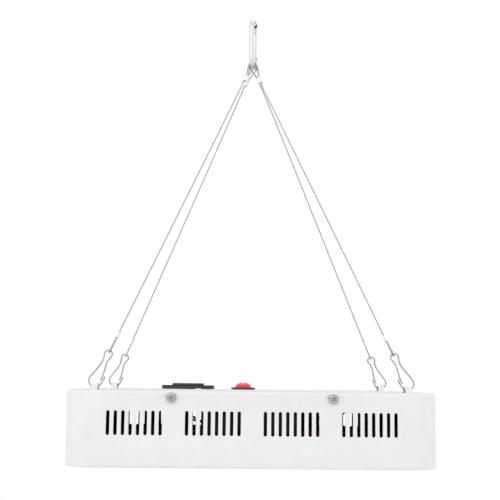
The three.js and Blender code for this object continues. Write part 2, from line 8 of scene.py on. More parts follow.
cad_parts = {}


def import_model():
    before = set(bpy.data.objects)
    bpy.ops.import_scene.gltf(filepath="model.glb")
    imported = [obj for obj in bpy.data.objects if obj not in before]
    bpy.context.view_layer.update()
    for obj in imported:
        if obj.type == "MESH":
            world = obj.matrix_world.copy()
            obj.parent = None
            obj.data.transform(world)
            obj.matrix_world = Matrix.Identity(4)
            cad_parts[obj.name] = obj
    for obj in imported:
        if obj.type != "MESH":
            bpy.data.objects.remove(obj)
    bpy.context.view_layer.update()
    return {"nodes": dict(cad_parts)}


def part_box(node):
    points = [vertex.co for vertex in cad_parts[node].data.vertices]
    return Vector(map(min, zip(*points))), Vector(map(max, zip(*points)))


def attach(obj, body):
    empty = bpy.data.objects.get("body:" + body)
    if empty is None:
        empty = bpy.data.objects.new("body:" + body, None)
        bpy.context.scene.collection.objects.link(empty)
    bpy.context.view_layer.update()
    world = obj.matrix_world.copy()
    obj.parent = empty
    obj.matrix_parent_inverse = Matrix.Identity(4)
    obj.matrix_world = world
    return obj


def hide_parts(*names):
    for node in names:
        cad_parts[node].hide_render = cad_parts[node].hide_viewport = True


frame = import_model()
MM = 0.001

# ---- sizes shared with the CAD, mm ---------------------------------------------------------
tray_lo, tray_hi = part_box("housing_tray")
TOP = tray_hi.z / MM
BASE = tray_lo.z / MM
BOX_W = (tray_hi.x - tray_lo.x) / MM
BOX_D = (tray_hi.y - tray_lo.y) / MM
BOX_R = 25.0
SHEET, BEND, FOOT_BEND, FOOT_IN = 1.2, 2.3, 1.8, 9.0
COVER_GAP, SKIRT, HOLE_EDGE = 0.25, 10.0, 0.3
SLOTS, SLOT_W, SLOT_H, SLOT_PITCH, SLOT_DROP = 8, 2.8, 20.0, 6.13, 16.3
GROUP_PITCH, SIDE_GROUP = 64.4, 66.0
SCREW_X, SCREW_DROP = 66.5, 5.4
LUG_X, LUG_Y, LUG_W, LUG_SPAN, LUG_INNER = 132.5, 77.0, 5.6, 15.0, 4.0
FITTING_Z = TOP + 0.3
FLANGE_T, RIM_TOP, EDGE, SOCKET_FLOOR = 3.4, 5.4, 0.5, -15.2
SINK_X, SINK_R = 20, 3.3
INLET_X, REAR_Y, SWITCH_X = -59.5, 80.0, -4.6
FAN_X, FAN_HOLE = 84.0, 35.75
FAN_TOP = TOP - SHEET - 0.3
FAN_T, BLADES, BLADE_ROOT, BLADE_SPAN = 15, 7, 14.2, 22.4
LENS_RISE, LENS_T, LENS_R, BOARD_GAP, BOARD_T = 3.2, 1.8, 7.0, 0.3, 1.6
LED_COLS, LED_ROWS, LED_DX, LED_DY = 10, 6, 28.0, 30.0
WIRE_R, HOOK_TOP_R, HOOK_LOW_R, HOOK_LOW_Z = 2.3, 9.0, 7.3, -42.3
HOOK_TURN = math.radians(77.5)
GATE_R, GATE_S, GATE_PIN_Z = 2.15, 7.7, -32.0
STRAND_OFF, CORE_R, STRANDS, STRAND_R, LAY_R, LAY, ROPE_STEP = 0.75, 0.3, 6, 0.215, 0.39, 5.6, 0.5
TOP_LOOP_R, TOP_FERRULE, LOW_LOOP_R, LOW_FERRULE = 3.5, 13.3, 2.0, 12.5
FERRULE_L, FERRULE_R = 5.4, 1.38
CLIP_R, BOW_R, EYE_R, EYE_A, NECK_A, NECK_B = 0.65, 5.6, 3.4, 25.0, 17.3, 1.9
EYE_OPEN = 60  # degrees left out at the neck of a clip's eye
FLANGE_R, BARREL_R, CUP_R, ROCKER_R = 12.1, 10.2, 8.8, 8.4
BARREL_FLOOR, CUP_FLOOR, ROCKER_TILT = -14, -12.5, 12
BOW_Z = TOP + LUG_INNER - CLIP_R - 0.3 - 0.2 + math.sqrt(BOW_R ** 2 - (LUG_W / 2) ** 2)
# each corner: side in x, side in y, and its place along the hook's lower bend
CORNERS = {"fl": (-1, -1, -1.5), "fr": (1, -1, -0.5), "rl": (-1, 1, 0.5), "rr": (1, 1, 1.5)}


# ---- mesh builder --------------------------------------------------------------------------
def polar(r, a):
    return r * math.cos(a), r * math.sin(a)


def carried(path, side):
    """Each point of a path with two directions across it, carried along without twist."""
    frames, normal = [], None
    for i, p in enumerate(path):
        t = tangent(path, i)
        if normal is None:
            normal = t.cross(side).normalized()
        normal = (normal - t * normal.dot(t)).normalized()
        frames.append((p, normal, t.cross(normal)))
    return frames


def tangent(path, i):
    return (path[min(i + 1, len(path) - 1)] - path[max(i - 1, 0)]).normalized()


class Build:
    """Collects points in mm and faces, then makes one mesh object."""

    def __init__(self):
        self.v, self.f, self.m = [], [], []

    def points(self, pts):
        start = len(self.v)
        self.v.extend([tuple(float(c) for c in p) for p in pts])
        return list(range(start, len(self.v)))

    def face(self, ids, mat=0):
        self.f.append(tuple(ids))
        self.m.append(mat)

    def wall(self, a, b, closed=True, mat=0):
        n = len(a)
        for i in range(n if closed else n - 1):
            j = (i + 1) % n
            self.face((a[i], a[j], b[j], b[i]), mat)

    def loft(self, loops, closed=True, mat=0):
        ids = [self.points(loop) for loop in loops]
        for a, b in zip(ids, ids[1:]):
            self.wall(a, b, closed, mat)
        return ids

    def cap(self, loop, holes, place, up=True, mat=0):
        """Fills a flat outline with holes, given in plane coordinates, through place(u, v)."""
        flat = [Vector((p[0], p[1])) for p in loop]
        faces = [list(range(len(loop)))]
        for hole in holes:
            faces.append(list(range(len(flat), len(flat) + len(hole))))
            flat.extend(Vector((p[0], p[1])) for p in hole)
        out = geometry.delaunay_2d_cdt(flat, [], faces, 1, 1e-5)
        coords, tris, origin = out[0], out[2], out[5]
        ids = self.points([place(c.x, c.y) for c in coords])
        for tri, source in zip(tris, origin):
            if any(s > 0 for s in source) or not source:
                continue
            t = [ids[i] for i in tri]
            self.face(t if up else t[::-1], mat)

    def shut(self, ids):
        """Closes both ends of a loft."""
        self.face(ids[0][::-1])
        self.face(ids[-1])

    def tube(self, path, radius, sides=12):
        """A closed tube on a path; radius is a number, a list, or a function of (share, angle)."""
        path = [Vector(p) for p in path]
        side = Vector((0, 0, 1)) if abs(tangent(path, 0).z) < 0.9 else Vector((1, 0, 0))
        loops = []
        for i, (p, normal, other) in enumerate(carried(path, side)):
            ring = []
            for k in range(sides):
                a = 2 * math.pi * k / sides
                if callable(radius):
                    r = radius(i / (len(path) - 1), a)
                else:
                    r = radius[i] if isinstance(radius, list) else radius
                ring.append(p + (normal * math.cos(a) + other * math.sin(a)) * r)
            loops.append(ring)
        self.shut(self.loft(loops))

    def lathe(self, profile, segments, place, mat=0):
        """Turns (r, z) points about Z; a radius of zero closes the end."""
        turns = [2 * math.pi * k / segments for k in range(segments)]
        rings = []
        for r, z in profile:
            if r < 1e-6:
                rings.append(self.points([place(Vector((0, 0, z)))]) * segments)
            else:
                rings.append(self.points([place(Vector((*polar(r, a), z))) for a in turns]))
        for a, b in zip(rings, rings[1:]):
            for k in range(segments):
                j = (k + 1) % segments
                quad = [a[k], a[j], b[j], b[k]]
                kept = [q for i, q in enumerate(quad) if q not in quad[:i]]
                if len(kept) > 2:
                    self.face(kept, mat)

    def done(self, name, mats, body="light", replaces=(), angle=35, weld=1e-3):
        """Makes the piece: welds it, marks edges sharper than angle, and says what it rides on."""
        mesh = bpy.data.meshes.new(name)
        mesh.from_pydata([(x * MM, y * MM, z * MM) for x, y, z in self.v], [], self.f)
        for mat in mats:
            mesh.materials.append(mat)
        mesh.polygons.foreach_set("material_index", self.m)
        bm = bmesh.new()
        bm.from_mesh(mesh)
        bmesh.ops.remove_doubles(bm, verts=bm.verts, dist=weld * MM)
        bmesh.ops.recalc_face_normals(bm, faces=bm.faces)
        for f in bm.faces:
            f.smooth = True
        for e in bm.edges:
            if len(e.link_faces) == 2 and e.calc_face_angle(0) > math.radians(angle):
                e.smooth = False
        bm.to_mesh(mesh)
        bm.free()
        obj = bpy.data.objects.new(name, mesh)
        bpy.context.scene.collection.objects.link(obj)
        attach(obj, body)
        if replaces:
            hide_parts(*replaces)


def circle(cx, cy, r, n, start=0.0, turn=360.0):
    """n points of an arc; a full turn stops one step short of its start."""
    steps = n if abs(turn) >= 360 else n - 1
    turns = [math.radians(start + turn * k / steps) for k in range(n)]
    return [(cx + r * math.cos(a), cy + r * math.sin(a)) for a in turns]


def rounded(w, d, r, n=8, cx=0.0, cy=0.0):
    pts = []
    for sx, sy, a in ((1, 1, 0), (-1, 1, 90), (-1, -1, 180), (1, -1, 270)):
        pts += circle(cx + sx * (w / 2 - r), cy + sy * (d / 2 - r), r, n + 1, a, 90)
    return pts


def grow(loop, b):
    """Moves a closed counter-clockwise outline outwards by b."""
    p = np.array(loop, float)
    before, after = np.roll(p, 1, 0), np.roll(p, -1, 0)

    def normal(d):
        n = np.stack([d[:, 1], -d[:, 0]], 1)
        return n / np.maximum(np.linalg.norm(n, axis=1, keepdims=True), 1e-9)

    n1, n2 = normal(p - before), normal(after - p)
    m = n1 + n2
    m /= np.maximum((m * n1).sum(1, keepdims=True), 0.3)
    return [tuple(q) for q in p + m * b]


def soften(loop, r, n=4):
    """Rounds every corner of a counter-clockwise outline."""
    out = []
    for i, p in enumerate(loop):
        p = Vector(p)
        before, after = Vector(loop[i - 1]), Vector(loop[(i + 1) % len(loop)])
        a, c = p + (before - p).normalized() * r, p + (after - p).normalized() * r
        for k in range(n + 1):
            t = k / n
            q = a * (1 - t) ** 2 + p * 2 * t * (1 - t) + c * t ** 2
            out.append((q.x, q.y))
    return out


def edge_arc(b, n=3):
    """Offsets (sideways, down) of a rounded edge of radius b."""
    turns = [math.pi / 2 * k / n for k in range(n + 1)]
    return [(b * (1 - math.sin(a)), b * (1 - math.cos(a))) for a in turns]


def sheet_with_holes(build, loop, holes, place):
    """Sheet metal through place(u, v, w): face at w=0, back in the second material (the painted inner shade),
    soft hole edges.
    """
    build.cap(loop, [grow(h, HOLE_EDGE) for h in holes], lambda u, v: place(u, v, 0))
    build.cap(loop, holes, lambda u, v: place(u, v, -SHEET), False, 1)
    for h in holes:
        rows = [[place(u, v, -w) for u, v in grow(h, out)] for out, w in edge_arc(HOLE_EDGE)]
        rows.append([place(u, v, -SHEET) for u, v in h])
        build.loft(rows[::-1])


def plate(b, loop, thick, place, bev):
    """A flat plate centred on w=0 with both edges rounded by bev."""
    half = thick / 2
    inner = grow(loop, -bev)
    b.cap(inner, [], lambda u, v: place(u, v, half), True)
    b.cap(inner, [], lambda u, v: place(u, v, -half), False)
    steps = [(grow(loop, -inwards), w) for inwards, w in edge_arc(bev)]
    rows = [[place(u, v, half - w) for u, v in edge] for edge, w in steps]
    rows += [[place(u, v, w - half) for u, v in edge] for edge, w in steps[::-1]]
    b.loft(rows)


def knot_blend(t, a, ta, b, tb):
    return a * ((tb - t) / (tb - ta)) + b * ((t - ta) / (tb - ta))


def smooth_path(points, step):
    """Centripetal Catmull-Rom through the points, resampled at an even step."""
    p = [Vector(q) for q in points]
    p = [p[0] * 2 - p[1], *p, p[-1] * 2 - p[-2]]
    dense = []
    for i in range(1, len(p) - 2):
        a, b, c, d = p[i - 1:i + 3]
        ta, tb = 0.0, max((b - a).length, 1e-6) ** 0.5
        tc = tb + max((c - b).length, 1e-6) ** 0.5
        td = tc + max((d - c).length, 1e-6) ** 0.5
        k = min(max(4, int((c - b).length / (step * 0.25))), 400)
        for j in range(k):
            t = tb + (tc - tb) * j / k
            a1, a2, a3 = (knot_blend(t, a, ta, b, tb), knot_blend(t, b, tb, c, tc),
                          knot_blend(t, c, tc, d, td))
            b1, b2 = knot_blend(t, a1, ta, a2, tc), knot_blend(t, a2, tb, a3, td)
            dense.append(knot_blend(t, b1, tb, b2, tc))
    dense.append(p[-2])
    co = np.array([tuple(q) for q in dense])
    s = np.concatenate([[0], np.cumsum(np.linalg.norm(np.diff(co, axis=0), axis=1))])
    n = max(2, int(round(s[-1] / step)))
    return [Vector([np.interp(x, s, axis) for axis in co.T]) for x in np.linspace(0, s[-1], n + 1)]


# ---- materials -----------------------------------------------------------------------------
def new_node(tree, kind, links=(), fixed=(), **values):
    """A node with inputs set by name or by (index, value), other settings, and (source, input) links."""
    node = tree.nodes.new(kind)
    for key, val in values.items():
        if key in node.inputs:
            node.inputs[key].default_value = val
        else:
            setattr(node, key, val)
    for index, val in fixed:
        node.inputs[index].default_value = val
    for source, target in links:
        tree.links.new(source, node.inputs[target])
    return node


class Nodes:
    """The node tree of one material."""

    def __init__(self, name):
        self.mat = bpy.data.materials.new(name)
        self.mat.use_nodes = True
        self.t = self.mat.node_tree
        self.p = self.t.nodes["Principled BSDF"]
        self.coord = self.t.nodes.new("ShaderNodeTexCoord")

    def add(self, kind, links=(), fixed=(), **values):
        return new_node(self.t, kind, links, fixed, **values)

    def noise(self, scale, detail, rough, stretch=None):
        source = self.coord.outputs["Object"]
        if stretch:
            mapping = self.add("ShaderNodeMapping", [(source, "Vector")], Scale=stretch)
            source = mapping.outputs["Vector"]
        node = self.add("ShaderNodeTexNoise", [(source, "Vector")],
                        Scale=scale, Detail=detail, Roughness=rough)
        return node.outputs["Fac"]

    def ramp(self, source, low, high, c0, c1):
        node = self.add("ShaderNodeValToRGB", [(source, "Fac")])
        for element, position, color in zip(node.color_ramp.elements, (low, high), (c0, c1)):
            element.position = position
            element.color = color
        return node.outputs["Color"]

    def spread(self, source, low, high):
        node = self.add("ShaderNodeMapRange", [(source, "Value")], **{"To Min": low, "To Max": high})
        return node.outputs["Result"]

    def link(self, source, target):
        self.t.links.new(source, self.p.inputs[target])

    def bump(self, height, strength, distance, before=None):
        links = [(height, "Height")]
        if before:
            links.append((before, "Normal"))
        node = self.add("ShaderNodeBump", links, Strength=strength, Distance=distance)
        self.link(node.outputs["Normal"], "Normal")


def grey(v, a=1.0):
    return (v, v, v, a)


def material(name, c0, c1, rough, metallic=0.0, tone_scale=60.0, grain=1800.0, bump=0.2,
             depth=0.00004, stretch=None, coat=0.0, specular=0.5, extra=None):
    """Colour wandering between c0 and c1, roughness between two values, and a fine surface grain."""
    n = Nodes(name)
    tone = n.noise(tone_scale, 4.0, 0.6)
    n.link(n.ramp(tone, 0.3, 0.7, c0, c1), "Base Color")
    fine = n.noise(grain, 3.0, 0.6, stretch)
    patch = n.noise(tone_scale * 2.7, 3.0, 0.6)
    total = n.add("ShaderNodeMath", [(fine, 0), (patch, 1)], operation="ADD")
    half = n.add("ShaderNodeMath", [(total.outputs[0], 0)], [(1, 0.5)], operation="MULTIPLY")
    n.link(n.spread(half.outputs[0], rough[0], rough[1]), "Roughness")
    n.bump(fine, bump, depth)
    n.p.inputs["Metallic"].default_value = metallic
    n.p.inputs["Coat Weight"].default_value = coat
    n.p.inputs["Specular IOR Level"].default_value = specular
    if extra:
        extra(n)
    return n.mat


def powder(n):
    """Orange peel under the fine grain of a powder coat."""
    peel = n.noise(420.0, 2.0, 0.5)
    grain = n.noise(2600.0, 2.0, 0.5)
    first = n.add("ShaderNodeBump", [(peel, "Height")], Strength=0.25, Distance=0.00012)
    n.bump(grain, 0.22, 0.00004, first.outputs["Normal"])


def glassy(n):
    n.p.inputs["Transmission Weight"].default_value = 0.85
    n.p.inputs["IOR"].default_value = 1.49


def waxy(n):
    n.p.inputs["Subsurface Weight"].default_value = 0.25
    n.p.inputs["Subsurface Radius"].default_value = (0.002, 0.0006, 0.0005)
    n.p.inputs["Coat Roughness"].default_value = 0.08


WHITE = material("white powder coat", grey(0.80), grey(0.835), (0.48, 0.62), specular=0.35, extra=powder)
# painted shade: near-black on the inner faces of the housing and cover stands in for the shade inside the
# closed box
INSIDE_SHADE = material("painted inner shade", grey(0.012), grey(0.022), (0.6, 0.8), grain=1400.0, specular=0.2)
BLACK = material("black moulded plastic", (0.020, 0.020, 0.023, 1), (0.033, 0.033, 0.037, 1), (0.34, 0.5),
                 grain=3200.0, bump=0.35, depth=0.00005)
DARK = material("dark fan plastic", grey(0.012), grey(0.022), (0.4, 0.55), grain=2400.0, bump=0.3)
RED = material("red rocker plastic", (0.76, 0.025, 0.015, 1), (0.86, 0.045, 0.028, 1), (0.22, 0.34),
               grain=900.0, bump=0.08, coat=0.12, specular=0.4, extra=waxy)
MARK = material("white mark ink", grey(0.78), grey(0.86), (0.4, 0.55), grain=4000.0)
CHROME = material("bright plated screw", grey(0.38), grey(0.52), (0.10, 0.22),
                  1.0, 300.0, 2600.0, 0.12, 0.00002)
STEEL = material("polished hook steel", (0.68, 0.675, 0.67, 1), (0.79, 0.785, 0.78, 1), (0.06, 0.14),
                 1.0, 90.0, 700.0, 0.05, 0.00001, (1, 1, 0.2))
WIRE = material("spring wire steel", (0.36, 0.34, 0.325, 1), (0.50, 0.48, 0.46, 1), (0.16, 0.3),
                1.0, 260.0, 2600.0, 0.15, 0.00002)
ROPE = material("steel rope strand", grey(0.40), grey(0.56), (0.24, 0.38),
                1.0, 500.0, 5000.0, 0.2, 0.00002)
CRIMP = material("crimped aluminium", (0.80, 0.81, 0.82, 1), (0.90, 0.90, 0.91, 1), (0.3, 0.45),
                 1.0, 500.0, 2600.0, 0.35)
ALU = material("black anodised aluminium", (0.018, 0.018, 0.02, 1), (0.035, 0.035, 0.038, 1), (0.4, 0.6),
               0.6, 80.0, 900.0, 0.25, stretch=(1, 0.05, 1))
BRASS = material("pin brass", (0.62, 0.45, 0.2, 1), (0.74, 0.56, 0.28, 1), (0.18, 0.32),
                 1.0, 300.0, 2600.0, 0.1)
BOARD = material("white solder mask", grey(0.74), grey(0.81), (0.3, 0.42), grain=1600.0, bump=0.12, coat=0.2)
PHOSPHOR = material("yellow phosphor", (0.78, 0.5, 0.06, 1), (0.86, 0.6, 0.1, 1), (0.35, 0.5),
                    grain=3000.0, bump=0.25)
LENS = material("clear lens plastic", grey(0.93), grey(0.97), (0.03, 0.09),
                grain=700.0, bump=0.05, extra=glassy)
BLACK_SCREW = material("black oxide screw", grey(0.03), grey(0.06), (0.28, 0.42), 0.8, 300.0, 2600.0, 0.2)
RED_WIRE = material("red wire sleeve", (0.5, 0.02, 0.015, 1), (0.62, 0.04, 0.03, 1), (0.3, 0.42),
                    grain=1500.0)
POTTING = material("driver case", grey(0.014), grey(0.026), (0.45, 0.65), grain=1900.0, bump=0.35)


# ---- housing -------------------------------------------------------------------------------
def slot_loop(x, z):
    r = SLOT_W / 2
    return circle(x, z - r, r, 9, 0, 180) + circle(x, z - SLOT_H + r, r, 9, 180, 180)


def slot_loops(centres):
    offsets = [(i - (SLOTS - 1) / 2) * SLOT_PITCH for i in range(SLOTS)]
    return [slot_loop(c + x, TOP - SLOT_DROP) for c in centres for x in offsets]


def box_ring(inset, z):
    """The box's rounded outline at height z, moved in by inset."""
    outline = rounded(BOX_W - 2 * inset, BOX_D - 2 * inset, BOX_R - inset, 20)
    return [(x, y, z) for x, y in outline]


def housing():
    b = Build()
    z0, z1 = BASE + FOOT_BEND, TOP - BEND
    hx, hy = BOX_W / 2 - BOX_R, BOX_D / 2 - BOX_R
    long_holes = slot_loops([k * GROUP_PITCH for k in (-1.5, -0.5, 0.5, 1.5)])
    long_holes += [circle(x, TOP - SCREW_DROP, 1.8, 16) for x in (-SCREW_X, SCREW_X)]
    short_holes = slot_loops([-SIDE_GROUP / 2, SIDE_GROUP / 2])
    walls = (
        (hx, long_holes, lambda u, v, w: (u, -BOX_D / 2 - w, v)),
        (hy, short_holes, lambda u, v, w: (BOX_W / 2 + w, u, v)),
        (hx, long_holes, lambda u, v, w: (-u, BOX_D / 2 + w, v)),
        (hy, short_holes, lambda u, v, w: (-BOX_W / 2 - w, -u, v)),
    )
    for half, holes, place in walls:
        outline = [(-half, z0), (half, z0), (half, z1), (-half, z1)]
        sheet_with_holes(b, outline, holes, place)
    for sx, sy, start in ((1, -1, -90), (1, 1, 0), (-1, 1, 90), (-1, -1, 180)):
        for inset, mat in ((0, 0), (SHEET, 1)):
            arc = circle(sx * hx, sy * hy, BOX_R - inset, 21, start, 90)
            rows = [[(x, y, z) for x, y in arc] for z in (z0, z1)]
            b.loft(rows if inset == 0 else rows[::-1], False, mat)
    # the top bend runs up to where the cover's own bend takes over
    last = math.acos(1 - SHEET / BEND)
    top = [(BEND - BEND * math.cos(last * k / 5), z1 + BEND * math.sin(last * k / 5)) for k in range(6)]
    top += [(SHEET, top[-1][1] - 0.04), (SHEET, z1)]
    b.loft([box_ring(i, z) for i, z in top])
    turns = (0, 0.32, 0.64, 0.96, 1.28, math.pi / 2)
    low = [(FOOT_BEND - FOOT_BEND * math.cos(a), z0 - FOOT_BEND * math.sin(a)) for a in turns]
    low += [(FOOT_IN, BASE), (FOOT_IN + 0.2, BASE + 0.2), (FOOT_IN + 0.2, BASE + 1.0),
            (FOOT_IN, BASE + SHEET)]
    b.loft([box_ring(i, z) for i, z in low][::-1])
    # the inner faces of the folded foot take the painted inner shade
    fold = [(FOOT_IN, BASE + SHEET), (FOOT_BEND, BASE + SHEET), (1.38, BASE + 1.38), (SHEET, z0)]
    b.loft([box_ring(i, z) for i, z in fold][::-1], True, 1)
    b.done("housing_shell", [WHITE, INSIDE_SHADE], replaces=["housing_tray"], angle=30)


def grille_loops(x):
    """Three rings of four round-ended slots over the fan at x."""
    loops, turn = [], 74
    for inner, outer in ((16.6, 20.4), (23.6, 27.4), (30.6, 34.4)):
        mid, r = (inner + outer) / 2, (outer - inner) / 2
        for a0 in (8, 98, 188, 278):
            a1 = a0 + turn
            (x0, y0), (x1, y1) = circle(x, 0, mid, 2, a0, turn)
            cap1 = circle(x1, y1, r, 7, a1, 180)[1:-1]
            cap0 = circle(x0, y0, r, 7, a0 + 180, 180)[1:-1]
            loops.append(circle(x, 0, outer, 15, a0, turn) + cap1 + circle(x, 0, inner, 15, a1, -turn) + cap0)
    return loops


def cover():
    b = Build()
    inset = SHEET + COVER_GAP
    outline = rounded(BOX_W - 2 * BEND, BOX_D - 2 * BEND, BOX_R - BEND, 20)
    holes = grille_loops(-FAN_X) + grille_loops(FAN_X)
    lugs = [(sx * LUG_X, sy * LUG_Y) for sx in (-1, 1) for sy in (-1, 1)]
    for x, y in lugs:
        holes.append(rounded(LUG_W + 1, LUG_SPAN - 2.6, 0.8, 3, x, y))
    sheet_with_holes(b, outline, holes, lambda u, v, w: (u, v, TOP + w))
    edge = [BEND - (BEND - inset) * k / 4 for k in range(5)]
    bend = [(i, TOP - BEND + math.sqrt(BEND ** 2 - (BEND - i) ** 2)) for i in edge]
    bend.append((inset, TOP - SHEET))
    b.loft([box_ring(i, z) for i, z in bend])
    skirt = [(inset, TOP - SHEET), (inset, TOP - (SKIRT - 0.3)), (inset + 0.3, TOP - SKIRT),
             (inset + SHEET, TOP - SKIRT), (inset + SHEET, TOP - SHEET)]
    # the skirt under the cover takes the painted inner shade
    b.loft([box_ring(i, z) for i, z in skirt], True, 1)
    for x, y in lugs:
        bridge(b, x, y)
    b.done("cover_sheet", [WHITE, INSIDE_SHADE], replaces=["top_cover"], angle=30)


def bridge(b, x, y):
    """The lanced strip that a clip goes under."""
    high = LUG_INNER + SHEET / 2
    side = [(-8.6, -1.0), (-7.6, -0.75), (-6.95, -0.1), (-6.4, 1.2), (-5.9, 2.9), (-5.1, high - 0.4),
            (-3.9, high)]
    line = side + [(-a, z) for a, z in side[::-1]]
    path = smooth_path([(x, y + a, TOP + z) for a, z in line], 0.45)
    section = rounded(LUG_W, SHEET, 0.42, 3)
    loops = []
    for i, p in enumerate(path):
        up = Vector((1, 0, 0)).cross(tangent(path, i))
        loops.append([p + Vector((u, 0, 0)) + up * v for u, v in section])
    b.shut(b.loft(loops))


# ---- screws --------------------------------------------------------------------------------
def pan_head(b, radius, height, place, length=6.0):
    """A pan head on a shank; its top is a polar grid whose height dips in a cross."""
    rings, shank, arm_l, arm_w = 22, 1.7, radius * 0.52, radius * 0.13
    turns = [2 * math.pi * k / 56 for k in range(56)]
    grid = []
    for i in range(rings + 1):
        r = radius * 0.97 * i / rings
        row = []
        for a in turns:
            z = height * (1 - 0.22 * (r / radius) ** 2 - 0.25 * (r / radius) ** 6)
            x, y = polar(r, a)
            arm = min(max(abs(x) - arm_w, abs(y) - arm_l), max(abs(y) - arm_w, abs(x) - arm_l))
            z -= height * 0.62 * min(max(-arm / (radius * 0.08), 0), 1) * (1 - 0.55 * r / radius)
            row.append(place(Vector((x, y, z))))
        grid.append(row)
    foot = height * 0.53
    for r, z in ((radius, foot - 0.25), (radius, 0.15), (radius * 0.97, 0), (shank, 0), (shank, -length)):
        grid.append([place(Vector((*polar(r, a), z))) for a in turns])
    b.face(b.loft(grid)[-1])


def split_washer(b, inner, outer, thick, place, start):
    """A spring washer, rising once round, with a bent ear before its start."""
    steps, section = 48, ((inner, 0), (inner, thick), (outer, thick), (outer, 0))
    ear = ((inner + 1.2, 0.1), (inner + 1.2, thick), (outer + 1.3, thick), (outer + 1.3, 0.1))
    loops = [[place(Vector((*polar(r, math.radians(start - 9)), z))) for r, z in ear]]
    for i in range(steps + 1):
        a = math.radians(start + 347 * i / steps)
        rise = 0.75 * i / steps
        loops.append([place(Vector((*polar(r, a), z + rise))) for r, z in section])
    b.shut(b.loft(loops))


def side_screws():
    for tag, (sx, sy, _) in CORNERS.items():
        b = Build()
        base = Vector((sx * SCREW_X, sy * (BOX_D / 2 + 0.03), TOP - SCREW_DROP))
        turn = 0.35 if sx * sy > 0 else 0.9

        def place(p, out=sy, base=base, turn=turn):
            x, y = (p.x * math.cos(turn) - p.y * math.sin(turn), p.x * math.sin(turn) + p.y * math.cos(turn))
            return base + Vector((x * -out, p.z * out, y))

        pan_head(b, 4.0, 2.3, lambda p, f=place: f(p + Vector((0, 0, 1.35))), length=7.5)
        split_washer(b, 2.2, 3.95, 0.62, place, 165 - math.degrees(turn))
        b.done("side_screw_" + tag + "_detail", [CHROME],
               replaces=["side_screw_" + tag], angle=40)


def cover_screws():
    for tag, s in (("l", -1), ("r", 1)):
        for i, (sx, sy) in enumerate(((-1, -1), (1, -1), (1, 1), (-1, 1))):
            b = Build()
            spot = Vector((s * FAN_X + sx * FAN_HOLE, sy * FAN_HOLE, TOP + 0.02))
            pan_head(b, 3.2, 0.95, lambda p, q=spot: q + p)
            node = f"fan_screw_{tag}{i + 1}"
            b.done(node + "_detail", [WHITE], replaces=[node], angle=40)
        b = Build()
        spot = Vector((INLET_X + s * SINK_X, REAR_Y, FITTING_Z + FLANGE_T - 1.66))
        pan_head(b, 2.9, 1.4, lambda p, q=spot: q + p)
        b.done("inlet_screw_" + tag + "_detail", [BLACK_SCREW],
               replaces=["inlet_screw_" + tag], angle=40)


# ---- power fittings ------------------------------------------------------------------------
def inlet():
    b = Build()

    def put(loop, z):
        return [(INLET_X + x, REAR_Y + y, FITTING_Z + z) for x, y in loop]

    def plane(z):
        return lambda u, v: (INLET_X + u, REAR_Y + v, FITTING_Z + z)

    def edge_rows(loop, out, top):
        """A rounded upper edge, from its foot to the flat."""
        return [put(grow(loop, s + out), top - down) for s, down in edge_arc(EDGE, 4)]

    flange, rim = rounded(51.6, 24, 3.5, 8), rounded(31, 22.5, 2, 8)
    sinks = [circle(s * SINK_X, 0, SINK_R, 32) for s in (-1, 1)]
    half_w, half_d, cut = 12.2, 8.4, 4.4
    socket = soften([(-half_w, -half_d), (half_w, -half_d), (half_w, half_d - cut), (half_w - cut, half_d),
                     (cut - half_w, half_d), (-half_w, half_d - cut)], 0.8)
    b.cap(flange, [], plane(0), False)
    b.loft([put(flange, 0), put(flange, FLANGE_T - EDGE)] + edge_rows(flange, -EDGE, FLANGE_T)[::-1])
    b.cap(grow(flange, -EDGE), [grow(rim, 0.35)] + [grow(k, 0.2) for k in sinks], plane(FLANGE_T))
    for k in sinks:
        b.loft([put(grow(k, 0.2), FLANGE_T), put(grow(k, 0.05), FLANGE_T - 0.06), put(k, FLANGE_T - 0.25),
                put(k, FLANGE_T - 1.7)])
        b.cap(k, [], plane(FLANGE_T - 1.7))
    rows = [put(grow(rim, 0.35), FLANGE_T), put(grow(rim, 0.08), FLANGE_T + 0.1), put(rim, FLANGE_T + 0.4),
            put(rim, 4.9)]
    b.loft(rows + edge_rows(rim, -EDGE, RIM_TOP)[::-1])
    b.cap(grow(rim, -EDGE), [grow(socket, EDGE)], plane(RIM_TOP))
    b.loft((edge_rows(socket, 0, RIM_TOP) + [put(socket, SOCKET_FLOOR)])[::-1])
    b.cap(socket, [], plane(SOCKET_FLOOR))
    b.done("inlet_shell", [BLACK], replaces=["inlet_body"], angle=32)
    for node, x, y in (("inlet_pin_l", -7, -2.2), ("inlet_pin_n", 7, -2.2), ("inlet_pin_e", 0, 2.2)):
        b = Build()
        blade = rounded(4, 2, 0.3, 3, x, y)
        b.shut(b.loft([put(blade, SOCKET_FLOOR - 0.1), put(blade, -7.2), put(grow(blade, -0.25), -6.4),
                       put(grow(blade, -0.6), -6.05)]))
        b.done(node + "_blade", [BRASS], replaces=[node])


